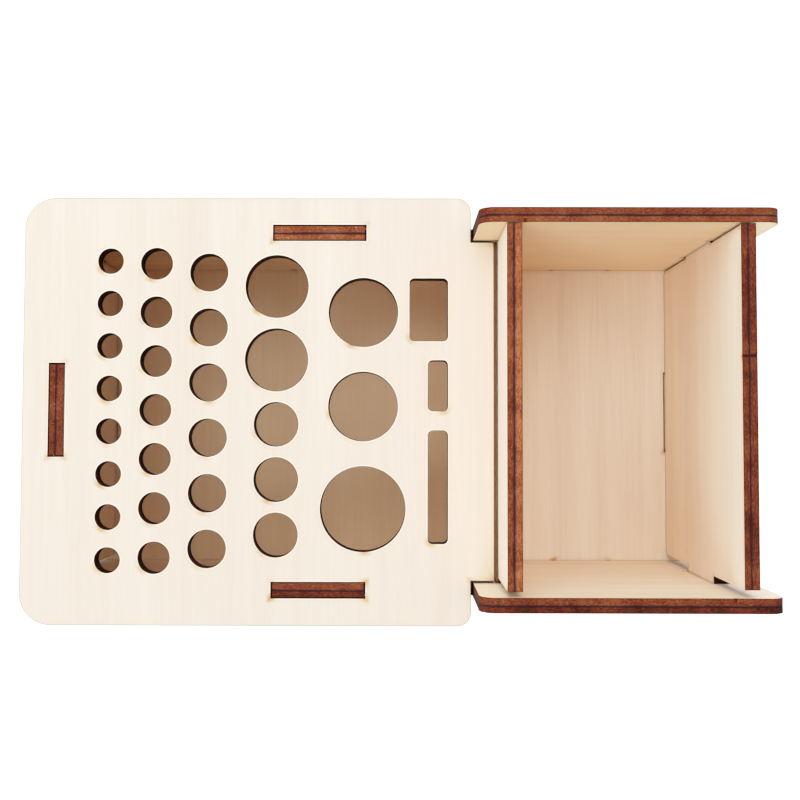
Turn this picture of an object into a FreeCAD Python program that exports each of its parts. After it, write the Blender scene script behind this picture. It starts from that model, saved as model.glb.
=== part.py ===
import FreeCAD, Part
import os
import Sketcher

# Knock-down tool caddy of seven laser-cut plywood panels that plug together with tabs and slots.
# A rack plate with rows of tool holes covers the left bay, and an open box stands at the right.
# Every sketch measures x from the rack plate's left edge, y from the middle and z from the table.

sizes = {
    # Board and fits
    "sheet": 4.5,               # thickness of the three-ply board
    "slot_play": 0.9,           # a slot is this much wider than the sheet in it
    "plate_slot_play": 0.5,     # the same for the tenons in the rack plate
    "slot_end_play": 0.65,      # a slot is this much longer than the tab in it
    "base_slot_play": 0.4,      # room over the base's tabs in the front and rear panels
    "rear_shoulder_gap": 0.25,  # cross panels stand this far from the rear panel
    # Main layout
    "plate_overhang": 9.0,      # rack plate past the front and rear panels
    "left_overhang": 8.7,       # rack plate past the left end panel
    "rack_bay": 138.8,          # left end panel to divider, clear
    "box_bay": 64.0,            # divider to right end panel, clear
    "frame_depth": 109.5,       # front panel to rear panel, clear
    "run_out": 7.9,             # front and rear panels past the end panels
    "foot_height": 6.0,         # underside of the base above the table
    "box_depth": 80.5,          # top of the base to the box's rim
    "plate_level": 55.0,        # top of the base to the top of the rack plate
    # Front and rear panels
    "tall_lead": 8.0,           # tall part of these panels ahead of the divider
    "panel_radius": 4.5,        # upper corners of the tall part
    "foot_radius": 3.0,         # lower corners
    # Tabs and tenons
    "tenon_length": 29.15,      # long tabs: into the rack plate and between base and panels
    "tenon_middle": 94.8,       # middle of the long tabs of the front and rear panels
    "box_tab_length": 20.4,     # base tab under the box
    "wall_tab_height": 26.8,    # side tabs of the divider and the right end panel
    "left_tab_height": 16.8,    # side tabs of the left end panel
    # Cross panels
    "left_front_gap": 1.6,      # left end panel to front panel, at the shoulders
    "divider_front_gap": 1.6,   # divider to front panel, at the shoulders
    "right_front_gap": 2.3,     # right end panel to front panel, at the shoulders
    "wall_radius": 2.5,         # lower corners of the cross panels
    # Rack plate outline
    "plate_left_radius": 10.0,
    "plate_right_radius": 4.5,
    "notch_gap": 0.7,           # plate's notches clear the tall parts by this much
    "tongue_gap": 1.3,          # plate's tongue stops this short of the divider
    # Round tool holes, in columns from left to right
    "first_column": 27.8,       # middle of the first column
    "column_web": 5.8,          # board left between the first four columns
    "last_column_web": 4.2,     # board left before the last column
    "small_web": 5.64,          # board left between the holes of the first three columns
    "medium_web": 3.58,         # the same in the fourth column
    "large_web": 8.1,           # the same in the last column
    "hole_one": 8.0,
    "hole_two": 10.0,
    "hole_three": 12.0,
    "hole_four": 14.0,
    "hole_five": 20.0,
    "hole_six": 22.0,
    "hole_seven": 27.0,
    "count_one": 8,
    "count_two": 7,
    "count_three": 6,
    "count_four": 3,
    "count_five": 2,
    "count_six": 2,
    # Flat tool slots beside the holes
    "slot_line": 135.85,        # right-hand side that all three share
    "slot_web": 6.3,            # board left between them
    "slot_radius": 1.5,
    "broad_slot_width": 12.1,
    "broad_slot_length": 20.0,
    "narrow_slot_width": 6.2,
    "short_slot_length": 16.1,
    "long_slot_length": 35.8,
}

doc = FreeCAD.newDocument("tool_caddy")
dims = doc.addObject("Spreadsheet::Sheet", "dims")
for row, (alias, number) in enumerate(sizes.items(), start=1):
    dims.set(f"A{row}", alias)
    dims.set(f"B{row}", str(number))
    dims.setAlias(f"B{row}", alias)
doc.recompute()


def cell(alias):
    return f"dims.{alias}"


def plus(*terms):
    return "(" + " + ".join(terms) + ")"


def minus(first, *others):
    return "(" + " - ".join((first,) + others) + ")"


def times(*terms):
    return "(" + " * ".join(terms) + ")"


def half(term):
    return f"({term} / 2)"


def value(expression):
    return float(dims.evalExpression(expression))


# Faces and levels that several panels share, as expressions of the driving dimensions
sheet = cell("sheet")
left_outer = cell("left_overhang")
left_inner = plus(left_outer, sheet)
divider_outer = plus(left_inner, cell("rack_bay"))
divider_inner = plus(divider_outer, sheet)
right_inner = plus(divider_inner, cell("box_bay"))
right_outer = plus(right_inner, sheet)
panel_start = minus(left_outer, cell("run_out"))
panel_end = plus(right_outer, cell("run_out"))
tall_start = minus(divider_outer, cell("tall_lead"))
half_depth = half(cell("frame_depth"))
half_outer_depth = plus(half_depth, sheet)
base_low = cell("foot_height")
base_top = plus(base_low, sheet)
plate_top = plus(base_top, cell("plate_level"))
plate_low = minus(plate_top, sheet)
rim = plus(base_top, cell("box_depth"))
wall_tab_low = plus(base_top, half(minus(cell("box_depth"), cell("wall_tab_height"))))
left_tab_low = plus(base_top, half(minus(plate_low, base_top, cell("left_tab_height"))))
long_slot = plus(cell("tenon_length"), cell("slot_end_play"))
sheet_slot = plus(sheet, cell("slot_play"))
middle_of_length = half(panel_end)

# Tabs of the base into the front and rear panels: middle along x and length
base_tabs = {
    "rack_tab": (cell("tenon_middle"), cell("tenon_length")),
    "box_tab": (half(plus(divider_inner, right_inner)), cell("box_tab_length")),
}

# Left-hand faces of the three panels that cross between the front and the rear
wall_faces = {"left": left_outer, "divider": divider_outer, "right": right_inner}

# Middle along y of their tabs into the base. A box wall has it half way between its own ends.
base_tab_middles = {
    "left": "0",
    "divider": half(minus(cell("divider_front_gap"), cell("rear_shoulder_gap"))),
    "right": half(minus(cell("right_front_gap"), cell("rear_shoulder_gap"))),
}

plane_normals = {"XY_Plane": (0, 0, 1), "XZ_Plane": (0, -1, 0), "YZ_Plane": (1, 0, 0)}


def new_panel(label, plane_role, place):
    # An empty panel. Its sketches lie on one plane of its own, and place puts that plane in the caddy.
    body = doc.addObject("PartDesign::Body", label)
    body.Label = label
    plane = [item for item in body.Origin.OriginFeatures if item.Role == plane_role][0]
    for axis, expression in place.items():
        body.setExpression(f"Placement.Base.{axis}", expression)
    return {"body": body, "plane": plane, "role": plane_role}


def new_sketch(panel, name, across, up):
    # A sketch whose origin is moved to (across, up) on the panel's plane
    sketch = panel["body"].newObject("Sketcher::SketchObject", name)
    sketch.AttachmentSupport = [(panel["plane"], "")]
    sketch.MapMode = "FlatFace"
    sketch.setExpression("AttachmentOffset.Base.x", across)
    sketch.setExpression("AttachmentOffset.Base.y", up)
    return sketch


def rectangle(panel, name, across, up, width, height):
    # A rectangle with its lower left corner at (across, up)
    sketch = new_sketch(panel, name, across, up)
    wide = value(width)
    high = value(height)
    corners = [(0, 0), (wide, 0), (wide, high), (0, high)]
    points = [FreeCAD.Vector(x, y, 0) for x, y in corners]
    for start, end in zip(points, points[1:] + points[:1]):
        sketch.addGeometry(Part.LineSegment(start, end), False)
    for side in range(4):
        sketch.addConstraint(Sketcher.Constraint("Coincident", side, 2, (side + 1) % 4, 1))
        direction = "Horizontal" if side % 2 == 0 else "Vertical"
        sketch.addConstraint(Sketcher.Constraint(direction, side))
    sketch.addConstraint(Sketcher.Constraint("Coincident", 0, 1, -1, 1))
    across_rule = sketch.addConstraint(Sketcher.Constraint("DistanceX", 0, 1, 0, 2, wide))
    up_rule = sketch.addConstraint(Sketcher.Constraint("DistanceY", 1, 1, 1, 2, high))
    sketch.setExpression(f"Constraints[{across_rule}]", width)
    sketch.setExpression(f"Constraints[{up_rule}]", height)
    return sketch


def circle(panel, name, across, up, diameter):
    sketch = new_sketch(panel, name, across, up)
    wide = value(diameter)
    axis = FreeCAD.Vector(0, 0, 1)
    sketch.addGeometry(Part.Circle(FreeCAD.Vector(0, 0, 0), axis, wide / 2), False)
    sketch.addConstraint(Sketcher.Constraint("Coincident", 0, 3, -1, 1))
    rule = sketch.addConstraint(Sketcher.Constraint("Diameter", 0, wide))
    sketch.setExpression(f"Constraints[{rule}]", diameter)
    return sketch


def add_board(panel, name, across, up, width, height):
    # A rectangle of board, one sheet thick
    pad = panel["body"].newObject("PartDesign::Pad", name)
    pad.Profile = rectangle(panel, f"{name}_outline", across, up, width, height)
    pad.setExpression("Length", sheet)
    doc.recompute()
    return pad


def cut_through(panel, name, sketch):
    # Cut the sketch through the sheet, and stop if nothing came away
    body = panel["body"]
    before = body.Shape.Volume
    pocket = body.newObject("PartDesign::Pocket", name)
    pocket.Profile = sketch
    pocket.Type = "ThroughAll"
    pocket.Reversed = True
    doc.recompute()
    if body.Shape.Volume >= before:
        raise RuntimeError(f"{name} cut nothing from {body.Label}")
    return pocket


def cut_slot(panel, name, across, up, width, height):
    return cut_through(panel, name, rectangle(panel, f"{name}_outline", across, up, width, height))


def repeat_upwards(panel, pocket, name, spacing, count):
    # Repeat a cut along the sketch's upward axis
    body = panel["body"]
    pattern = body.newObject("PartDesign::LinearPattern", name)
    pattern.Originals = [pocket]
    pattern.Direction = (pocket.Profile[0], ["V_Axis"])
    pattern.Mode = "Spacing"
    pattern.setExpression("Offset", spacing)
    pattern.setExpression("Occurrences", count)
    body.Tip = pattern
    doc.recompute()
    return pattern


def round_corners(panel, name, corners, radius):
    # Round the edges that run through the sheet at the given (across, up) corners
    body = panel["body"]
    tip = body.Tip
    normal = FreeCAD.Vector(*plane_normals[panel["role"]])
    names = []
    for across, up in corners:
        flat = FreeCAD.Vector(value(across), value(up), 0)
        start = panel["plane"].Placement.multVec(flat)
        for number, edge in enumerate(tip.Shape.Edges, start=1):
            middle = edge.CenterOfMass
            offset = middle - start
            along = offset.dot(normal)
            straight = abs(edge.Length - value(sheet)) < 1e-6
            if straight and (offset - normal * along).Length < 1e-6:
                names.append(f"Edge{number}")
    if len(names) != len(corners):
        raise RuntimeError(f"{name} found {len(names)} of {len(corners)} corners")
    fillet = body.newObject("PartDesign::Fillet", name)
    fillet.Base = (tip, names)
    fillet.setExpression("Radius", radius)
    doc.recompute()
    return fillet


def long_panel(label, face):
    # Front or rear panel: low under the rack plate, tall beside the box, with a tenon up into the plate.
    panel = new_panel(label, "XZ_Plane", {"x": f"-{middle_of_length}", "y": face})
    add_board(panel, "low_part", panel_start, "0", minus(panel_end, panel_start), plate_low)
    add_board(panel, "tall_part", tall_start, "0", minus(panel_end, tall_start), rim)
    tenon_start = minus(cell("tenon_middle"), half(cell("tenon_length")))
    add_board(panel, "plate_tenon", tenon_start, "0", cell("tenon_length"), plate_top)
    upper = [(tall_start, rim), (panel_end, rim)]
    lower = [(panel_start, "0"), (panel_end, "0")]
    round_corners(panel, "upper_corners", upper, cell("panel_radius"))
    round_corners(panel, "lower_corners", lower, cell("foot_radius"))

    for name, wall_face in wall_faces.items():
        low = left_tab_low if name == "left" else wall_tab_low
        high = cell("left_tab_height") if name == "left" else cell("wall_tab_height")
        across = minus(wall_face, half(cell("slot_play")))
        up = minus(low, half(cell("slot_end_play")))
        cut_slot(panel, f"{name}_slot", across, up, sheet_slot, plus(high, cell("slot_end_play")))

    base_slot_height = plus(sheet, cell("base_slot_play"))
    for name, (middle, tab) in base_tabs.items():
        opening = plus(tab, cell("slot_end_play"))
        cut_slot(panel, f"{name}_slot", minus(middle, half(opening)), base_low, opening, base_slot_height)
    return panel


def cross_panel(label, name, top, tab_low, tab_height, front_gap):
    # Left end panel, divider or right end panel: side tabs into both long panels, a tab down into the base
    panel = new_panel(label, "YZ_Plane", {"x": minus(wall_faces[name], middle_of_length)})
    front_end = minus(front_gap, half_depth)
    rear_end = minus(half_depth, cell("rear_shoulder_gap"))
    add_board(panel, "wall", front_end, base_top, minus(rear_end, front_end), minus(top, base_top))
    lower = [(front_end, base_top), (rear_end, base_top)]
    round_corners(panel, "lower_corners", lower, cell("wall_radius"))
    side_width = times("2", half_outer_depth)
    add_board(panel, "side_tabs", f"-{half_outer_depth}", tab_low, side_width, tab_height)
    tab_start = minus(base_tab_middles[name], half(cell("tenon_length")))
    add_board(panel, "base_tab", tab_start, base_low, cell("tenon_length"), minus(tab_low, base_low))
    return panel


def left_end_panel():
    # The low cross panel under the rack plate, with a tenon up into the plate
    height = cell("left_tab_height")
    panel = cross_panel("left_end_panel", "left", plate_low, left_tab_low, height, cell("left_front_gap"))
    tenon_start = f"-{half(cell('tenon_length'))}"
    add_board(panel, "plate_tenon", tenon_start, base_top, cell("tenon_length"), minus(plate_top, base_top))
    return panel


def box_wall(label, name):
    # A cross panel as high as the box
    front_gap = cell(f"{name}_front_gap")
    return cross_panel(label, name, rim, wall_tab_low, cell("wall_tab_height"), front_gap)


def base_panel():
    # The floor of both bays. Its tabs reach through the long panels, and the cross panels stand in its slots.
    panel = new_panel("base_panel", "XY_Plane", {"x": f"-{middle_of_length}", "z": base_low})
    length = minus(panel_end, panel_start)
    add_board(panel, "floor", panel_start, f"-{half_depth}", length, cell("frame_depth"))
    depth = times("2", half_outer_depth)
    for name, (middle, tab) in base_tabs.items():
        add_board(panel, name, minus(middle, half(tab)), f"-{half_outer_depth}", tab, depth)
    for name, face in wall_faces.items():
        across = minus(face, half(cell("slot_play")))
        up = minus(base_tab_middles[name], half(long_slot))
        cut_slot(panel, f"{name}_slot", across, up, sheet_slot, long_slot)
    return panel


def hole_column(panel, middle, web, holes):
    # One column of round holes with equal board between them, the end holes' middles level about y = 0.
    # holes lists (name, diameter, count or None for a single hole) from the front to the rear.
    diameters = [diameter for name, diameter, count in holes]
    reach = half(minus(plus(*[column_run(diameter, count, web) for name, diameter, count in holes]), web,
                       half(plus(diameters[0], diameters[-1]))))
    low_edge = minus(f"-{reach}", half(diameters[0]))
    for name, diameter, count in holes:
        first = plus(low_edge, half(diameter))
        pocket = cut_through(panel, name, circle(panel, f"{name}_outline", middle, first, diameter))
        if count:
            repeat_upwards(panel, pocket, f"{name}_row", plus(diameter, web), count)
        low_edge = plus(low_edge, column_run(diameter, count, web))


def column_run(diameter, count, web):
    # Length of a run of holes with the board after each
    run = plus(diameter, web)
    return times(run, count) if count else run


def tool_slots(panel):
    # Three flat slots in line at the right of the holes, centred on y = 0, with rounded corners
    slots = (
        ("long_slot", cell("narrow_slot_width"), cell("long_slot_length")),
        ("short_slot", cell("narrow_slot_width"), cell("short_slot_length")),
        ("broad_slot", cell("broad_slot_width"), cell("broad_slot_length")),
    )
    lengths = plus(*[length for name, width, length in slots], times("2", cell("slot_web")))
    low = f"-{half(lengths)}"
    corners = []
    for name, width, length in slots:
        across = minus(cell("slot_line"), width)
        cut_slot(panel, name, across, low, width, length)
        high = plus(low, length)
        corners += [(side, level) for side in (across, cell("slot_line")) for level in (low, high)]
        low = plus(high, cell("slot_web"))
    round_corners(panel, "tool_slot_corners", corners, cell("slot_radius"))


def rack_plate():
    # The hole plate. It lies on the low panels, its notches clear the tall ones, and tenons hold it.
    panel = new_panel("rack_plate", "XY_Plane", {"x": f"-{middle_of_length}", "z": plate_low})
    half_width = plus(half_outer_depth, cell("plate_overhang"))
    plate_end = minus(tall_start, cell("notch_gap"))
    add_board(panel, "plate", "0", f"-{half_width}", plate_end, times("2", half_width))
    left_corners = [("0", f"-{half_width}"), ("0", half_width)]
    right_corners = [(plate_end, f"-{half_width}"), (plate_end, half_width)]
    round_corners(panel, "left_corners", left_corners, cell("plate_left_radius"))
    round_corners(panel, "right_corners", right_corners, cell("plate_right_radius"))
    tongue_half = minus(half_depth, cell("notch_gap"))
    tongue_end = minus(divider_outer, cell("tongue_gap"))
    add_board(panel, "tongue", half(plate_end), f"-{tongue_half}", minus(tongue_end, half(plate_end)),
              times("2", tongue_half))

    side_slot = minus(cell("tenon_middle"), half(long_slot))
    play = half(cell("plate_slot_play"))
    tenon_slot = plus(sheet, cell("plate_slot_play"))
    cut_slot(panel, "left_tenon_slot", minus(left_outer, play), f"-{half(long_slot)}", tenon_slot, long_slot)
    cut_slot(panel, "rear_tenon_slot", side_slot, minus(half_depth, play), long_slot, tenon_slot)
    cut_slot(panel, "front_tenon_slot", side_slot, f"-{plus(half_outer_depth, play)}", long_slot, tenon_slot)

    one, two, three, four = [cell(f"hole_{word}") for word in ("one", "two", "three", "four")]
    five, six, seven = [cell(f"hole_{word}") for word in ("five", "six", "seven")]
    column_web = cell("column_web")
    column_one = cell("first_column")
    column_two = plus(column_one, half(one), column_web, half(two))
    column_three = plus(column_two, half(two), column_web, half(three))
    column_four = plus(column_three, half(three), column_web, half(five))
    column_five = plus(column_four, half(five), cell("last_column_web"), half(seven))
    small_web = cell("small_web")
    hole_column(panel, column_one, small_web, [("holes_one", one, cell("count_one"))])
    hole_column(panel, column_two, small_web, [("holes_two", two, cell("count_two"))])
    hole_column(panel, column_three, small_web, [("holes_three", three, cell("count_three"))])
    hole_column(panel, column_four, cell("medium_web"),
                [("holes_four", four, cell("count_four")), ("holes_five", five, cell("count_five"))])
    hole_column(panel, column_five, cell("large_web"),
                [("hole_seven", seven, None), ("holes_six", six, cell("count_six"))])
    tool_slots(panel)
    return panel


panels = [
    base_panel(),
    long_panel("front_panel", f"-{half_depth}"),
    long_panel("rear_panel", half_outer_depth),
    left_end_panel(),
    box_wall("divider_panel", "divider"),
    box_wall("right_end_panel", "right"),
    rack_plate(),
]
doc.recompute()

for item in doc.Objects:
    if "Invalid" in item.State or "Error" in item.State:
        raise RuntimeError(f"{item.Label} did not build")
for panel in panels:
    shape = panel["body"].Shape
    if shape.isNull() or not shape.isValid() or len(shape.Solids) != 1:
        raise RuntimeError(f"{panel['body'].Label} is not one sound solid")

os.makedirs("parts", exist_ok=True)
for panel in panels:
    body = panel["body"]
    body.Shape.exportStep(f"parts/{body.Label}.step")
    box = body.Shape.BoundBox
    print(f"{body.Label}: {box.XLength:.1f} x {box.YLength:.1f} x {box.ZLength:.1f} mm, "
          f"z {box.ZMin:.1f} to {box.ZMax:.1f}, volume {body.Shape.Volume:.0f}")
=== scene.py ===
import math
import bpy
import numpy as np
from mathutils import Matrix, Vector
from mathutils.geometry import delaunay_2d_cdt


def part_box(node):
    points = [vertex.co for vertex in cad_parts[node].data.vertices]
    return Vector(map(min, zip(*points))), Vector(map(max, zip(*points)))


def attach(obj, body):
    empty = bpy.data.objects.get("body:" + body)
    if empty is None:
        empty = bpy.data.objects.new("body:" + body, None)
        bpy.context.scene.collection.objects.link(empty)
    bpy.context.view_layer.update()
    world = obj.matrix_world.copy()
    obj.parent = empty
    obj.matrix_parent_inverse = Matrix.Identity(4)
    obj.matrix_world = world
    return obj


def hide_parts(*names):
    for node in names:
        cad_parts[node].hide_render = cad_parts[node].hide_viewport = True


# Looks of a knock-down tool caddy: seven panels of laser-cut three-ply basswood.
# Each panel is drawn again along its own cut outline, with plies, kerf marks and scorched rims.

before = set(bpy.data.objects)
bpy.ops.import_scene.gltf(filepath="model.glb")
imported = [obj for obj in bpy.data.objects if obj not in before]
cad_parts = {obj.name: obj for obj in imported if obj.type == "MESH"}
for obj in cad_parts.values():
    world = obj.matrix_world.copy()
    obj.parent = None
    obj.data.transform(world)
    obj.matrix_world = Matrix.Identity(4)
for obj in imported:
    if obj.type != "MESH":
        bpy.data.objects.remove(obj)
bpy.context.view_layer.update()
mm = 0.001

board = {                                 # what every panel shares; lengths are in millimetres
    "outlineStep": 0.55,                  # longest run between two points along a cut
    "sharpTurn": 0.7,                     # a corner counts as sharp where the cosine of its turn is less
    "faceTolerance": 0.01,                # points this near a node's top belong to its upper face
    "arris": 0.06,                        # rounding where a cut meets a face
    "faceRings": (0.22, 0.5, 0.95, 1.7),  # rows of points on the faces beside a cut, nearest first
    "faceGive": 0.5,                      # most that a row moves with the cut, as a share of its distance
    "plyJoints": (0.37, 0.63),            # where the plies meet, as shares of the thickness
    "jointGroove": 0.05,                  # depth of the burnt-out glue lines
    "jointHalf": 0.10,                    # half the width of a glue line
    "coreRecess": 0.02,                   # the cross-grain core burns back a little further
    "kerfTaper": 0.02,                    # a cut is wider on the side where the beam came in
    "ripple": 0.012,                      # ridges that the beam leaves along a cut
    "rippleLengths": (1.5, 3.1, 7.7),     # their spacing, drawn as coarse as the outline step can show
    "holeStart": (235, 22),               # where the beam starts a hole: degrees round it, and their spread
    "startMark": (0.45, 1.0),             # least and most scorch there
    "cornerFew": 2.5,                     # power of the corners' random scorch, which leaves few strong ones
    "markReach": 1.8,                     # scorch beside a corner or the start of a cut
    "wind": (-0.77, -0.64),               # way that the air jet blew the smoke, on the board
    "windStain": 0.25,                    # stain that it left there
    "windShare": (0.3, 1.0),              # least and most of that stain that one cut gets
    "seamShadeLine": (0.8, 0.95),              # painted contact shade above edges that face down: strength, and height
    "nickDepth": 0.28,                    # notch where the beam started an outline
    "nickReach": 0.35,                    # and how far it runs along the cut
    "crownSpan": (-0.3, 7.0),             # edges this far below a rim, to its rounded corners, share its lighter tone, partly painted light
    "shoulderFacing": 0.9,                # a shoulder faces along the outline's first axis at least this much
    "shoulderReach": 1.0,                 # and lies this near its given place
    "figureSpread": 4000,                 # the panels' figures are taken up to this far apart
    "smoothAngle": 50,                    # degrees; an edge that turns more stays sharp
}


def outlineLoops(node):
    # Closed loops of the node's broad upper face in millimetres, with the board on the left hand.
    # A side of the face's triangles that no neighbour shares is a border; borders are chained end to end.
    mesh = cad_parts[node].data
    points = np.zeros(len(mesh.vertices) * 3, np.float32)
    mesh.vertices.foreach_get("co", points)
    corners = np.zeros(len(mesh.loops), np.int32)
    mesh.loops.foreach_get("vertex_index", corners)
    rounded = np.round(points.reshape(-1, 3) / mm, decimals=3)
    places, welded = np.unique(rounded, axis=0, return_inverse=True)
    triangles = welded.ravel()[corners].reshape(-1, 3)
    thin = int(np.argmin(np.ptp(places, axis=0)))
    low, high = places[:, thin].min(), places[:, thin].max()
    triangles = triangles[np.all(places[triangles, thin] > high - board["faceTolerance"], axis=1)]
    sides = triangles[:, [0, 1, 1, 2, 2, 0]].reshape(-1, 2)
    code = sides @ (len(places), 1)
    border = sides[~np.isin(code, sides @ (1, len(places)))]
    following = dict(border.tolist())
    flat = places[:, [(thin + 1) % 3, (thin + 2) % 3]]
    loops = []
    while following:
        start, point = following.popitem()
        chain = [start]
        while point != start:
            chain.append(point)
            point = following.pop(point)
        loops.append(flat[chain])
    loops.sort(key=lambda loop: -np.prod(np.ptp(loop, axis=0)))
    return loops, thin, low, high


def cutPath(corners):
    # Mitre direction into the board at each corner: the two side normals' sum over one plus their product.
    # Sides longer than the step are then divided evenly, and the mitre is shared out along them, so that an
    # inset line stays parallel to its side. Gives points, mitres, run length, whole length and sharp corners.
    side = np.roll(corners, -1, axis=0) - corners
    length = np.linalg.norm(side, axis=1)
    leftAhead = (side / length[:, None])[:, ::-1] * (-1, 1)
    leftBehind = np.roll(leftAhead, 1, axis=0)
    agree = (leftAhead * leftBehind).sum(axis=1)
    mitre = (leftAhead + leftBehind) / (1 + agree)[:, None]
    parts = np.maximum(1, np.ceil(length / board["outlineStep"])).astype(int)
    first = np.cumsum(parts) - parts
    owner = np.repeat(np.arange(len(corners)), parts)
    share = ((np.arange(parts.sum()) - first[owner]) / parts[owner])[:, None]
    loop = corners[owner] + side[owner] * share
    mitre = mitre[owner] * (1 - share) + np.roll(mitre, -1, axis=0)[owner] * share
    run = (np.cumsum(length) - length)[owner] + length[owner] * share[:, 0]
    return loop, mitre, run, length.sum(), first[agree < board["sharpTurn"]]


def cutProfile(thickness):
    # Rows from one face round the cut to the other: how far in from the cut line, and how high.
    # The corners are quarter rounds in two steps, and the wall dips at the glue lines.
    arris, groove, halfLine = board["arris"], board["jointGroove"], board["jointHalf"]
    bend = 0.3 * arris                    # middle of a quarter round: near 1 - cos 45 degrees
    first, second = (share * thickness for share in board["plyJoints"])
    core = board["coreRecess"]
    rings = board["faceRings"]
    wall = [(arris, 0), (bend, bend), (0, arris),
            (0, first - halfLine), (groove, first), (core, first + halfLine),
            (core, thickness / 2),
            (core, second - halfLine), (groove, second), (0, second + halfLine),
            (0, thickness - arris), (bend, thickness - bend), (arris, thickness)]
    rows = [(ring, 0) for ring in rings[::-1]] + wall + [(ring, thickness) for ring in rings]
    inset, height = np.array(rows, float).T
    onWall = np.zeros(len(rows), bool)
    onWall[len(rings):-len(rings)] = True
    return inset, height, onWall


def faceOut(loop):
    # Outward normal all along a cut: a quarter turn from the chord between each point's two neighbours
    chord = np.roll(loop, -1, axis=0) - np.roll(loop, 1, axis=0)
    return chord[:, ::-1] * (1, -1) / np.linalg.norm(chord, axis=1)[:, None]


def scorchMarks(loop, outward, run, length, sharp, rng, startAt, piece):
    # Places where the beam dwelt: every sharp corner, and the point where it started the cut.
    # Strength fades as exp(-(distance along the cut / reach) squared). The air jet also blows smoke
    # to one side: its strength goes as the square of how far the board lies downwind.
    if startAt is None:
        angle = math.radians(rng.normal(*board["holeStart"]))
        toStart = (math.cos(angle), math.sin(angle))
        startAt = loop[np.argmax((loop - loop.mean(axis=0)) @ toStart)]
    start = np.argmin(np.linalg.norm(loop - startAt, axis=1))
    places = np.append(run[sharp], run[start])
    atCorners = np.maximum(rng.random(len(sharp)) ** board["cornerFew"], piece["cornerScorch"])
    strength = np.append(atCorners, rng.uniform(*board["startMark"]))
    gap = np.abs(run[:, None] - places)
    gap = np.minimum(gap, length - gap)
    dwell = (strength * np.exp(-(gap / board["markReach"]) ** 2)).max(axis=1)
    downwind = np.clip(outward @ board["wind"], -1, 0) ** 2
    smoke = piece["rimSmoke"] + board["windStain"] * downwind * rng.uniform(*board["windShare"])
    nick = np.exp(-(gap[:, -1] / board["nickReach"]) ** 2)
    return np.maximum(dwell, smoke), nick


def crownToneAndLight(loop, outward, piece):
    # Toast along a cut, partly painted light and shade: the panel's own, drawn to the rim's lighter tone by
    # how much its normal points up
    toastAndPaintedLight = np.full(len(loop), piece["cutToastAndShade"])
    above, below = board["crownSpan"]
    for level, tone in piece["crownToastAndLight"]:
        under = level - loop[:, piece["upAxis"]]
        facing = np.clip(outward[:, piece["upAxis"]], 0, 1)
        toastAndPaintedLight += (tone - toastAndPaintedLight) * facing * ((under > above) & (under < below))
    return toastAndPaintedLight


def kerfRipple(run, length, rng):
    # Sum of sine waves along the cut, each with a whole number of waves so that the loop closes,
    # kept above zero
    waves = np.maximum(1, np.round(length / np.array(board["rippleLengths"])))
    phase = rng.random(len(waves)) * 2 * np.pi
    height = np.sin(2 * np.pi * np.outer(run / length, waves) + phase).mean(axis=1)
    return board["ripple"] * (1 + height)


def fillBetween(rings):
    # Flat face between the innermost rings: Delaunay triangles with each ring as a fixed border,
    # less those whose three corners lie on one hole's ring, which are inside that hole.
    points = np.concatenate(rings)
    sizes = np.array([len(ring) for ring in rings])
    starts = np.cumsum(sizes) - sizes
    owner = np.repeat(np.arange(len(rings)), sizes)
    index = np.arange(len(points))
    after = np.where(index + 1 < starts[owner] + sizes[owner], index + 1, starts[owner])
    edges = np.stack([index, after], axis=1)
    insideOnly, tolerance = 1, 1e-7
    places = [Vector(point) for point in points]
    found = delaunay_2d_cdt(places, edges.tolist(), [], insideOnly, tolerance)
    triangles = np.array(found[2])
    rims = owner[triangles]
    inHole = (rims[:, 0] > 0) & (rims[:, 0] == rims[:, 1]) & (rims[:, 0] == rims[:, 2])
    triangles = triangles[~inHole]
    a, b, c = (points[triangles[:, corner]] for corner in range(3))
    area = (b - a)[:, 0] * (c - a)[:, 1] - (b - a)[:, 1] * (c - a)[:, 0]
    return np.where(area[:, None] < 0, triangles[:, ::-1], triangles)


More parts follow.
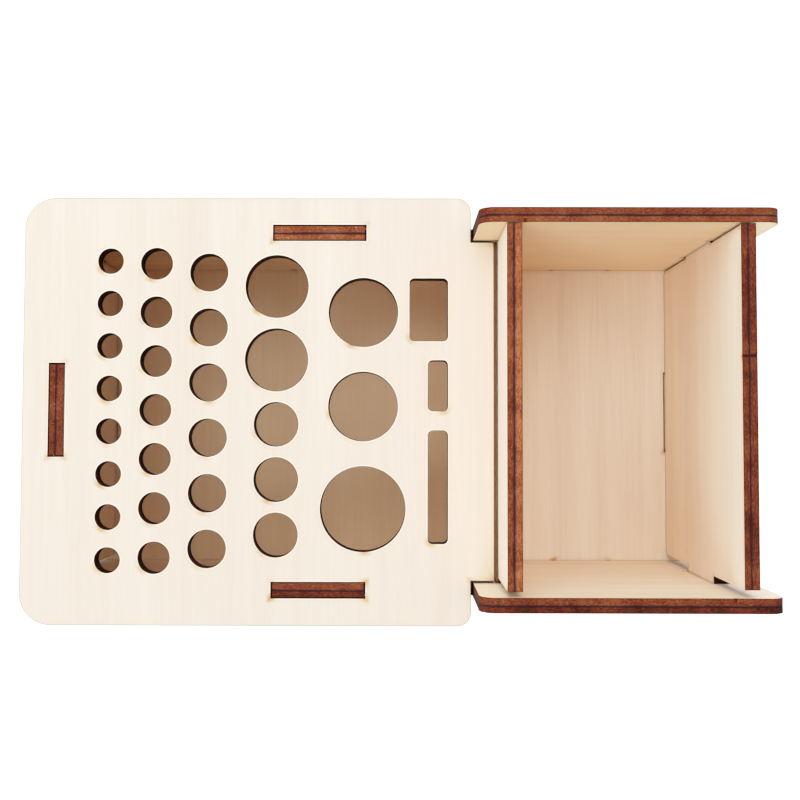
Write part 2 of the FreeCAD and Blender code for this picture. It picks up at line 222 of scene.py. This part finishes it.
def buildPanel(name, piece):
    # The cut profile is carried along every outline loop of the panel, and both faces are filled between.
    rng = np.random.default_rng(piece["seed"])
    loops, thin, low, high = outlineLoops(name)
    flatAxes = [(thin + 1) % 3, (thin + 2) % 3]
    thickness = high - low
    inset, height, onWall = cutProfile(thickness)
    rows = len(inset)

    # what a row of the profile has by its place across the thickness or its distance from the cut
    through = height / thickness
    ply = np.interp(through, (0, *board["plyJoints"], 1), (0, 1 / 3, 2 / 3, 1))
    plyTone = np.interp(through, board["plyJoints"], piece["plyTone"])
    tanAndShade = np.interp(through, board["plyJoints"], piece["tanAndShade"])
    bayPaintedShade, bayEnd = piece["bayPaintedShade"]
    stainFade = np.clip(1 - (inset / max(board["faceRings"])) ** 2, 0, 1)
    seamShadeFade, outlineFade = (darkness * np.clip(1 - inset / reach, 0, 1)
                             for darkness, reach in (board["seamShadeLine"], piece["outlineDarkLine"]))
    shoulder, slack = piece["shoulderSlack"]
    nickLow, nickHigh = piece["nickSpan"]
    nickAcross = (through >= nickLow) & (through <= nickHigh)

    rings, grids, quads, edgeFaces = [], [], [], []
    values = {}
    offset = 0
    for number, corners in enumerate(loops):
        isOutline = number == 0
        loop, mitre, run, length, sharp = cutPath(corners)
        count = len(loop)
        outward = faceOut(loop)
        startAt = piece["startAt"] if isOutline else None
        dwell, nick = scorchMarks(loop, outward, run, length, sharp, rng, startAt, piece)
        nick = nick[:, None] * nickAcross * isOutline

        # how far the cut has eaten in beyond its line
        worn = kerfRipple(run, length, rng)[:, None] + board["kerfTaper"] * through
        worn = worn + board["nickDepth"] * nick
        if not isOutline and len(sharp):
            worn = worn - piece["slotTaper"] * (1 - through)
        facing = outward[:, 0] > board["shoulderFacing"]
        atShoulder = facing & (np.abs(loop[:, 0] - shoulder) < board["shoulderReach"])
        worn = worn + slack * atShoulder[:, None]
        depth = inset + np.where(onWall, worn, np.minimum(worn, board["faceGive"] * inset))

        grid = np.empty((count, rows, 3))
        grid[:, :, flatAxes] = loop[:, None, :] + mitre[:, None, :] * depth[:, :, None]
        grid[:, :, thin] = low + height
        here = offset + np.arange(count * rows).reshape(count, rows)
        there = np.roll(here, -1, axis=0)
        around = [here[:, :-1], there[:, :-1], there[:, 1:], here[:, 1:]]
        quads.append(np.stack(around, axis=-1).reshape(-1, 4))
        edgeFaces.append(np.tile(onWall[:-1] & onWall[1:], count))
        rings.append(here[:, -1])
        grids.append(grid.reshape(-1, 3))
        offset += count * rows

        toastAndPaintedLight = crownToneAndLight(loop, outward, piece)[:, None] + plyTone
        down = np.zeros(count)
        if piece["upAxis"] is not None:
            down = np.clip(-outward[:, piece["upAxis"]], 0, 1)
        marks = {
            "cutDistance": inset / piece["haloReach"],
            "acrossPly": ply,
            "toastAndPaintedLight": toastAndPaintedLight + (1 - toastAndPaintedLight) * nick,
            "scorch": dwell[:, None] * stainFade,
            # painted contact shade above down-facing edges, plus the dark line round the outline
            "seamShadeAndOutline": down[:, None] * seamShadeFade + outlineFade * isOutline,
            # painted shade of the bay under the rack plate is added to the tan here
            "tanAndShade": tanAndShade + bayPaintedShade * (grid[:, :, 0] < bayEnd),
        }
        for label, value in marks.items():
            values.setdefault(label, []).append(np.broadcast_to(value, (count, rows)).ravel())

    points = np.concatenate(grids)
    quads = np.concatenate(quads)
    upper = np.concatenate(rings)
    fill = fillBetween([points[ring][:, flatAxes] for ring in rings])
    topFaces = upper[fill]
    lowFaces = (upper - (rows - 1))[fill][:, ::-1]
    mesh = bpy.data.meshes.new(name + "_board")
    mesh.from_pydata((points * mm).tolist(), [], quads.tolist() + topFaces.tolist() + lowFaces.tolist())
    onEdge = np.zeros(len(mesh.polygons), np.int32)
    onEdge[:len(quads)] = np.concatenate(edgeFaces)
    mesh.polygons.foreach_set("material_index", onEdge)
    for label, parts in values.items():
        layer = mesh.attributes.new(label, "FLOAT", "POINT")
        layer.data.foreach_set("value", np.concatenate(parts).astype(np.float32))

    # place on the board along the grain, across it and through it, moved so that no panels share a figure
    grain = piece["grainAxis"]
    cross = 3 - grain - thin
    onBoard = points[:, [grain, cross, thin]] + rng.uniform(0, board["figureSpread"], 3)
    layer = mesh.attributes.new("boardPlace", "FLOAT_VECTOR", "POINT")
    layer.data.foreach_set("vector", onBoard.astype(np.float32).ravel())
    mesh.shade_smooth()
    mesh.set_sharp_from_angle(angle=math.radians(board["smoothAngle"]))
    mesh.materials.append(veneer)
    mesh.materials.append(charredEdge)
    panel = bpy.data.objects.new(name + "_board", mesh)
    bpy.context.scene.collection.objects.link(panel)
    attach(panel, "root")
    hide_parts(name)
    print(f"{name}: {len(loops)} cuts, {len(points)} points, {len(mesh.polygons)} faces")


def linear(code):
    # sRGB hex to linear colour
    channels = np.array([int(code[i:i + 2], 16) for i in (0, 2, 4)]) / 255
    value = np.where(channels <= 0.04045, channels / 12.92, ((channels + 0.055) / 1.055) ** 2.4)
    return (*value.tolist(), 1.0)


def addNode(tree, kind, inputs=(), **settings):
    # One shader node with its settings. Inputs are a dictionary by socket, or a row in the sockets' order,
    # and each is a number, a colour or another node's output.
    node = tree.nodes.new("ShaderNode" + kind)
    for label, value in settings.items():
        setattr(node, label, value)
    pairs = inputs.items() if isinstance(inputs, dict) else enumerate(inputs)
    for socket, value in pairs:
        if isinstance(value, bpy.types.NodeSocket):
            tree.links.new(value, node.inputs[socket])
        else:
            node.inputs[socket].default_value = value
    return node


def newMaterial(label):
    material = bpy.data.materials.new(label)
    material.use_nodes = True
    material.node_tree.nodes.clear()
    return material, material.node_tree


# In both looks a span is four numbers: the noise, toast or distance where a tone starts and ends, then
# how much of it there is at the start and at the end. With only two numbers it goes from none to full.
veneerLook = {
    "pale": "f2dec5", "deep": "e1cbb0",          # early and late wood of the sheet
    "pink": "ebd0ba",                            # broad rosy patches
    "poreTone": "b4946f",                        # open pores
    "tanAndShade": "d9ad62",                             # tan of some faces; partly painted shade on the rack plate's underside, and painted shade on the base under the rack
    "halo": "eccd8c",                            # heat-yellowed rim of a cut
    "rim": "fff6e6",                             # dried-out line right beside a cut
    "scorch": "ba7c32",                          # smoke stain where the beam dwelt
    "seamShadeAndOutline": "5a3d2b",                            # painted shade where a panel stands on another, and the dark line round a panel's outline
    "soot": "3a1f14",                            # burnt arris
    "figures": {                                 # length and width in millimetres, and detail
        "streak": (30.0, 1.1, 2.0),              # of grain, drawn as coarse as it needs to show
        "band": (260.0, 9.0, 2.0),               # of growth
        "patch": (120.0, 45.0, 1.0),             # of rosy wood
        "pore": (2.4, 0.22, 1.0),                # open at the sanded face
    },
    "figureRoughness": 0.55,
    "grainMix": (0.35, 0.65),                    # parts of streak and band in the grain
    "grainSpan": (0.33, 0.66),
    "rosySpan": (0.45, 0.75, 0.0, 0.5),
    "poreSpan": (0.66, 0.78, 0.0, 0.28),
    "haloPatches": (0.22, 2.0),                  # patches to the millimetre, and detail
    "haloUneven": (0.35, 0.65, 0.15, 0.75),
    "haloSpan": (0.3, 1.6, 1.0, 0.0),
    "rimSpan": (0.28, 0.58, 0.85, 0.0),
    "sootSpan": (0.1, 0.2, 0.9, 0.0),
    "relief": (0.25, 0.00003),                   # of the grain: strength, and height in metres
    "roughness": 0.62,
    "ior": 1.45,
}


def sandedBasswoodVeneer(look):
    # Basswood rotary veneer, sanded and unfinished: pale cream, almost even, with hair-fine grain streaks
    # and a dull surface. Beside a laser cut it is dried pale, then yellowed, and smoke-stained in spots.
    material, tree = newMaterial("sandedBasswoodVeneer")
    place = addNode(tree, "Attribute", attribute_name="boardPlace").outputs["Vector"]
    distance, stain, tanAndShadeShare, seamShadeAndOutline = (addNode(tree, "Attribute", attribute_name=label).outputs["Fac"]
                                     for label in ("cutDistance", "scorch", "tanAndShade", "seamShadeAndOutline"))
    figure = {}
    for label, (length, width, detail) in look["figures"].items():
        scaled = addNode(tree, "Mapping", {"Vector": place, "Scale": (1 / length, 1 / width, 1 / width)})
        noise = addNode(tree, "TexNoise", {"Vector": scaled.outputs[0], "Scale": 1.0, "Detail": detail,
                                           "Roughness": look["figureRoughness"]})
        figure[label] = noise.outputs[0]
    streakPart, bandPart = look["grainMix"]
    grain = addNode(tree, "Math", (figure["band"], bandPart), operation="MULTIPLY")
    grain = addNode(tree, "Math", (figure["streak"], streakPart, grain.outputs[0]), operation="MULTIPLY_ADD")
    grainShare = addNode(tree, "MapRange", (grain.outputs[0], *look["grainSpan"]))
    rosyShare = addNode(tree, "MapRange", (figure["patch"], *look["rosySpan"]))
    poreShare = addNode(tree, "MapRange", (figure["pore"], *look["poreSpan"]))

    perMillimetre, detail = look["haloPatches"]
    cloudy = addNode(tree, "TexNoise", {"Vector": place, "Scale": perMillimetre, "Detail": detail})
    uneven = addNode(tree, "MapRange", (cloudy.outputs[0], *look["haloUneven"]))
    near = addNode(tree, "MapRange", (distance, *look["haloSpan"]), interpolation_type="SMOOTHSTEP")
    haloShare = addNode(tree, "Math", (near.outputs[0], uneven.outputs[0]), operation="MULTIPLY")
    rimShare = addNode(tree, "MapRange", (distance, *look["rimSpan"]), interpolation_type="SMOOTHSTEP")
    sootShare = addNode(tree, "MapRange", (distance, *look["sootSpan"]))

    coats = ((grainShare.outputs[0], "pale"), (rosyShare.outputs[0], "pink"),
             (poreShare.outputs[0], "poreTone"), (tanAndShadeShare, "tanAndShade"), (haloShare.outputs[0], "halo"),
             (rimShare.outputs[0], "rim"), (stain, "scorch"), (seamShadeAndOutline, "seamShadeAndOutline"), (sootShare.outputs[0], "soot"))
    wood = linear(look["deep"])
    for share, tone in coats:
        coat = addNode(tree, "Mix", {0: share, 6: wood, 7: linear(look[tone])}, data_type="RGBA")
        wood = coat.outputs[2]
    strength, rise = look["relief"]
    bump = addNode(tree, "Bump", {"Height": figure["streak"], "Strength": strength, "Distance": rise})
    shader = addNode(tree, "BsdfPrincipled", {"Base Color": wood, "Roughness": look["roughness"],
                                              "IOR": look["ior"], "Normal": bump.outputs[0]})
    addNode(tree, "OutputMaterial", {"Surface": shader.outputs[0]})
    return material


edgeLook = {
    # tones by heat, which also carries painted light and shade: gold, amber, rust, umber and char, and for
    # the core pale plum, plum and char
    "plyTones": ((0.0, "a9633a"), (0.3, "7b4121"), (0.58, "5d2412"), (0.78, "3d150a"), (0.95, "140a07")),
    "coreTones": ((0.1, "7d524c"), (0.5, "5a2f28"), (0.95, "120908")),
    "glue": "2a0c0a",
    "arris": "3d150a",
    "spark": "d2996c",                           # fibre ends that stayed light
    "sparkGrain": (0.33, 1.0),                   # their size in millimetres, and detail
    "sparkSpan": (0.62, 0.7, 0.0),               # ends at the amount that sparkCool gives
    "sparkCool": (0.2, 0.62, 0.75, 0.05),        # fewer on darker cuts
    "speck": (1.0, 0.3, 3.0, 0.65),              # flecks of fibre: length and width, mm, detail, roughness
    "speckHeat": (0.3, 0.7, 0.22, -0.22),
    "cloud": (0.16, 2.0),                        # patches to the millimetre, and detail
    "cloudHeat": (0.3, 0.7, -0.12, 0.12),
    "wander": (14.0, 3.0),                       # waves in the plies: spacing in millimetres, and detail
    "wanderShift": (0.3, 0.7, -0.025, 0.025),    # as a share of the thickness
    "coreStart": (0.29, 0.43),                   # places across the edge: 0 is the lower face, 1 the upper
    "coreEnd": (0.55, 0.68, 1.0, 0.0),
    "glueLine": 0.44,
    "glueInner": 0.02,                           # the glue's smoke is full this near its line
    "glueOuter": (0.35, 0.65, 0.09, 0.2),        # and gone this far off, by cloud
    "glueStrength": (0.9, 0.0),
    "arrisSpan": (0.44, 0.49, 0.0, 0.75),        # from the middle of the edge
    "relief": (0.5, 0.00008),                    # of the flecks: strength, and height in metres
    "roughness": 0.72,
    "ior": 1.45,
    "specular": 0.08,
}


def laserCharredPlyEdge(look):
    # Edge of three-ply board cut by laser: the face plies caramelise from gold to rust with bright flecks,
    # the cross-grain core turns plum brown, glue lines go dark, and long-dwelt cuts are soot black and dull.
    material, tree = newMaterial("laserCharredPlyEdge")
    place = addNode(tree, "Attribute", attribute_name="boardPlace").outputs["Vector"]
    ply, toastAndPaintedLight = (addNode(tree, "Attribute", attribute_name=label).outputs["Fac"]
                  for label in ("acrossPly", "toastAndPaintedLight"))

    spacing, detail = look["wander"]
    drift = addNode(tree, "TexNoise", {"Vector": place, "Scale": 1 / spacing, "Detail": detail})
    shift = addNode(tree, "MapRange", (drift.outputs[0], *look["wanderShift"]))
    across = addNode(tree, "Math", (ply, shift.outputs[0]), operation="ADD").outputs[0]

    length, width, detail, roughness = look["speck"]
    scaled = addNode(tree, "Mapping", {"Vector": place, "Scale": (1 / length, 1 / width, 1 / width)})
    fleck = addNode(tree, "TexNoise", {"Vector": scaled.outputs[0], "Scale": 1.0, "Detail": detail,
                                       "Roughness": roughness}).outputs[0]
    perMillimetre, detail = look["cloud"]
    cloud = addNode(tree, "TexNoise", {"Vector": place, "Scale": perMillimetre, "Detail": detail}).outputs[0]
    heatAndPaintedLight = addNode(tree, "MapRange", (fleck, *look["speckHeat"]), clamp=False)
    # the toast carries painted light and shade: lighter on up-facing rim edges, darker on other cuts
    heatAndPaintedLight = addNode(tree, "Math", (heatAndPaintedLight.outputs[0], toastAndPaintedLight), operation="ADD")
    patchy = addNode(tree, "MapRange", (cloud, *look["cloudHeat"]), clamp=False)
    heatAndPaintedLight = addNode(tree, "Math", (heatAndPaintedLight.outputs[0], patchy.outputs[0]), operation="ADD").outputs[0]

    toned = []
    for stops in (look["plyTones"], look["coreTones"]):
        ramp = addNode(tree, "ValToRGB", {"Fac": heatAndPaintedLight})
        elements = ramp.color_ramp.elements
        while len(elements) < len(stops):
            elements.new(0.5)
        for element, (position, tone) in zip(elements, stops):
            element.position = position
            element.color = linear(tone)
        toned.append(ramp.outputs[0])
    plyTone, coreTone = toned

    size, detail = look["sparkGrain"]
    sparkle = addNode(tree, "TexNoise", {"Vector": place, "Scale": 1 / size, "Detail": detail})
    cool = addNode(tree, "MapRange", (toastAndPaintedLight, *look["sparkCool"]))
    sparkShare = addNode(tree, "MapRange", (sparkle.outputs[0], *look["sparkSpan"], cool.outputs[0]))

    coreStart = addNode(tree, "MapRange", (across, *look["coreStart"]))
    coreEnd = addNode(tree, "MapRange", (across, *look["coreEnd"]))
    inCore = addNode(tree, "Math", (coreStart.outputs[0], coreEnd.outputs[0]), operation="MULTIPLY")

    glueOff = addNode(tree, "Math", (across, look["glueLine"]), operation="SUBTRACT")
    glueOff = addNode(tree, "Math", (glueOff.outputs[0],), operation="ABSOLUTE")
    glueOuter = addNode(tree, "MapRange", (cloud, *look["glueOuter"]))
    glueSpan = (look["glueInner"], glueOuter.outputs[0], *look["glueStrength"])
    glueShare = addNode(tree, "MapRange", (glueOff.outputs[0], *glueSpan), interpolation_type="SMOOTHSTEP")

    toMiddle = addNode(tree, "Math", (ply, 0.5), operation="SUBTRACT")
    toMiddle = addNode(tree, "Math", (toMiddle.outputs[0],), operation="ABSOLUTE")
    arrisShare = addNode(tree, "MapRange", (toMiddle.outputs[0], *look["arrisSpan"]))

    coats = ((sparkShare, linear(look["spark"])), (inCore, coreTone),
             (glueShare, linear(look["glue"])), (arrisShare, linear(look["arris"])))
    burnt = plyTone
    for share, tone in coats:
        burnt = addNode(tree, "Mix", {0: share.outputs[0], 6: burnt, 7: tone}, data_type="RGBA").outputs[2]
    strength, rise = look["relief"]
    bump = addNode(tree, "Bump", {"Height": fleck, "Strength": strength, "Distance": rise})
    shader = addNode(tree, "BsdfPrincipled", {"Base Color": burnt, "Roughness": look["roughness"],
                                              "IOR": look["ior"], "Specular IOR Level": look["specular"],
                                              "Normal": bump.outputs[0]})
    addNode(tree, "OutputMaterial", {"Surface": shader.outputs[0]})
    return material


veneer = sandedBasswoodVeneer(veneerLook)
charredEdge = laserCharredPlyEdge(edgeLook)
print("materials ready")

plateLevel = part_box("rack_plate")[1].z / mm      # tenon tops finish flush with the plate
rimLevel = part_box("divider_panel")[1].z / mm

usualPanel = {                       # what a panel has unless its own dictionary says otherwise
    "grainAxis": 1,                  # axis that the grain follows: 0 x, 1 y, 2 z
    "cutToastAndShade": 0.85,                # how far its cuts are toasted: 0 gold, 1 char; partly painted shade in holes, slots and gaps
    "plyTone": (0, 0),               # what the lower and the upper ply add to that
    "tanAndShade": (0, 0),                   # tan of the lower and the upper face, partly painted shade on the rack plate's underside
    "bayPaintedShade": (0, 0),                # painted shade added to both faces as tan, and up to which x
    "haloReach": 0.7,                # how wide the pale and yellow rims of its cuts are
    "rimSmoke": 0.1,                 # smoke stain all along them
    "cornerScorch": 0,               # least scorch at a sharp corner
    "outlineDarkLine": (0, 1),           # dark line round the outline: strength, and width on the face
    "slotTaper": 0,                  # sharp-cornered openings narrow by this toward the lower face
    "shoulderSlack": (0, 0),         # place of a shoulder beside a tab, and how far short of there it stops
    "startAt": (0, 0),               # the beam started at the point of the outline nearest to this
    "nickSpan": (0, 1),              # part of the thickness that the notch there takes
    "upAxis": None,                  # which of the outline's two axes points up, where the panel stands
    "crownToastAndLight": (),                # lighter toast of edges that face up, by level, partly painted light
}

# painted shade: the base is browner under the rack plate, where the bay lies in shade
basePanel = {"seed": 3, "haloReach": 0.3, "rimSmoke": 0.05, "startAt": (-100, -55), "bayPaintedShade": (0.42, 37)}

# the plate's lower tan is partly painted shade of the bay beneath it
rackPlate = {"seed": 5, "cutToastAndShade": 0.95, "tanAndShade": (0.2, 0.13), "haloReach": 1.0, "rimSmoke": 0.0,
             "startAt": (35, 54), "slotTaper": 0.2, "outlineDarkLine": (0.8, 0.5)}

frontPanel = {"seed": 7, "grainAxis": 0, "cutToastAndShade": 0.8, "plyTone": (0.13, -0.07), "tanAndShade": (0, 0.08),
              "upAxis": 0, "crownToastAndLight": ((rimLevel, 0.58), (plateLevel, 0.56)),
              "startAt": (rimLevel, 101.5), "nickSpan": (0.7, 1)}

rearPanel = {"seed": 9, "grainAxis": 0, "cutToastAndShade": 0.8, "plyTone": (0, 0.03), "tanAndShade": (0.4, 0.4),
             "upAxis": 0, "crownToastAndLight": ((rimLevel, 0.45), (plateLevel, 0.34)),
             "startAt": (rimLevel, 40.8), "nickSpan": (0, 0.3), "cornerScorch": 0.9}

leftEndPanel = {"seed": 15, "upAxis": 1, "crownToastAndLight": ((plateLevel, 0.53),)}

dividerPanel = {"seed": 12, "plyTone": (0.12, -0.08), "upAxis": 1, "crownToastAndLight": ((rimLevel, 0.32),)}

rightEndPanel = {"seed": 14, "upAxis": 1, "crownToastAndLight": ((rimLevel, 0.59),), "startAt": (15.4, rimLevel),
                 "shoulderSlack": (54.75, 0.45)}

panels = {"base_panel": basePanel, "rack_plate": rackPlate, "front_panel": frontPanel,
          "rear_panel": rearPanel, "left_end_panel": leftEndPanel, "divider_panel": dividerPanel,
          "right_end_panel": rightEndPanel}
for name, piece in panels.items():
    buildPanel(name, {**usualPanel, **piece})
print("panels ready")

studio = {
    "floorReach": 4.0,             # metres from the middle to the floor's edge
    "floorDrop": 0.00005,          # metres, just under the panels' lower edges
    "floorTone": "fafafa",
    "floorGlow": 0.9,              # the sheet is lit from below as well
    "cardReach": (0.108, 0.058),   # half sizes of the dark card under the caddy, a painted shadow, metres
    "cardLift": 0.00003,           # metres above the sheet
    "shadowCardTone": "3b2a20",
    "sheetRoughness": 0.6,
    "tint": (0.97, 1.0, 1.065),    # daylight a little cooler than the print
    "bounces": 10,                 # wood to wood, for the warm light deep in the holes
    "dome": 0.72,                  # white tent all round
    "cameraShade": (19, 11, 0.3),  # degrees off straight up where it starts and is full, and the light left
    "lampSize": 0.7,               # metres across
    "lamps": {                     # degrees round from +x, degrees up, metres away, watts
        "rearLeft": (120, 50, 0.6, 2.4),
        "frontLeft": (240, 50, 1.2, 4.9),
        "lowLeft": (180, 22, 1.1, 4.2),
        "rearRight": (60, 50, 0.75, 1.2),
        "overhead": (75, 77, 1.2, 1.9),
    },
}


def laySheet(label, reach, level, tone, glow, roughness):
    # Flat sheet: the corners are plus and minus its half sizes along x and y
    material, tree = newMaterial(label)
    shader = addNode(tree, "BsdfPrincipled", {"Base Color": linear(tone), "Roughness": roughness,
                                              "Emission Color": (1, 1, 1, 1), "Emission Strength": glow})
    addNode(tree, "OutputMaterial", {"Surface": shader.outputs[0]})
    corners = np.array([(-1, -1), (1, -1), (1, 1), (-1, 1)]) * reach
    points = np.column_stack([corners, np.full(4, level)])
    mesh = bpy.data.meshes.new(label)
    mesh.from_pydata(points.tolist(), [], [(0, 1, 2, 3)])
    mesh.materials.append(material)
    sheet = bpy.data.objects.new(label, mesh)
    bpy.context.scene.collection.objects.link(sheet)


def lightTable(look):
    # White acrylic sheet lit from below, which keeps the ground white, and a dark card under the caddy
    # that stops the glow from coming up through its slots: a painted shadow under the caddy
    level, dull = -look["floorDrop"], look["sheetRoughness"]
    laySheet("frostedAcrylicSheet", look["floorReach"], level, look["floorTone"], look["floorGlow"], dull)
    laySheet("paintedShadowCard", look["cardReach"], level + look["cardLift"], look["shadowCardTone"], 0.0, dull)


def studioLight(look):
    # Dim white tent, with round softboxes mostly to the left and rear; the camera shades the middle above,
    # so that light reaches the holes by way of the wood and turns warm there
    world = bpy.data.worlds.new("tent")
    world.use_nodes = True
    tree = world.node_tree
    tree.nodes.clear()
    outer, inner, left = look["cameraShade"]
    shade = (math.cos(math.radians(outer)), math.cos(math.radians(inner)), look["dome"], look["dome"] * left)
    skyward = addNode(tree, "SeparateXYZ", (addNode(tree, "TexCoord").outputs["Generated"],))
    glow = addNode(tree, "MapRange", (skyward.outputs["Z"], *shade))
    tent = addNode(tree, "Background", {"Color": (*look["tint"], 1), "Strength": glow.outputs[0]})
    addNode(tree, "OutputWorld", {"Surface": tent.outputs[0]})
    bpy.context.scene.world = world
    bpy.context.scene.cycles.diffuse_bounces = look["bounces"]
    for label, (bearing, up, away, watts) in look["lamps"].items():
        turn, rise = math.radians(bearing), math.radians(up)
        toLamp = Vector((math.cos(rise) * math.cos(turn), math.cos(rise) * math.sin(turn), math.sin(rise)))
        lamp = bpy.data.lights.new(label, "AREA")
        lamp.energy = watts
        lamp.color = look["tint"]
        lamp.shape = "DISK"
        lamp.size = look["lampSize"]
        softbox = bpy.data.objects.new(label, lamp)
        softbox.location = toLamp * away
        softbox.rotation_mode = "QUATERNION"
        softbox.rotation_quaternion = (-toLamp).to_track_quat("-Z", "Y")
        bpy.context.scene.collection.objects.link(softbox)


lightTable(studio)
studioLight(studio)
print("studio ready")

viewpoint = {
    "place": (5.325, -7.582, 359.970),        # millimetres, almost straight above
    "tilt": (2.1228, 0.2094, 0.1368),         # degrees about x, y and z
    "focalPixels": 923.98,                    # focal length in the 800-pixel frame
    "imagePixels": 800,
    "sensor": 36.0,                           # millimetres
    "nearest": 0.01,                          # metres; nothing nearer shows
}
lens = bpy.data.cameras.new("camera")
lens.sensor_width = viewpoint["sensor"]
lens.lens = viewpoint["focalPixels"] * viewpoint["sensor"] / viewpoint["imagePixels"]
lens.clip_start = viewpoint["nearest"]
camera = bpy.data.objects.new("camera", lens)
camera.location = [along * mm for along in viewpoint["place"]]
camera.rotation_euler = [math.radians(angle) for angle in viewpoint["tilt"]]
bpy.context.scene.collection.objects.link(camera)
bpy.context.scene.camera = camera

exposure = {
    "white": 1.7,                             # scene brightness that comes out pure white
    "shoulder": ((0.36, 0.61), (0.49, 0.74), (0.65, 0.84), (0.81, 0.925)),   # share of white, and print tone
}


def rollOff(look):
    # Straight tone up to mid grey, then a photographic shoulder: bright wood pales before it burns out
    settings = bpy.context.scene.view_settings
    settings.view_transform = "Standard"
    settings.use_curve_mapping = True
    mapping = settings.curve_mapping
    mapping.white_level = (look["white"],) * 3
    allChannels = mapping.curves[3]
    for share, tone in look["shoulder"]:
        allChannels.points.new(share, tone)
    mapping.update()


rollOff(exposure)

print("done")
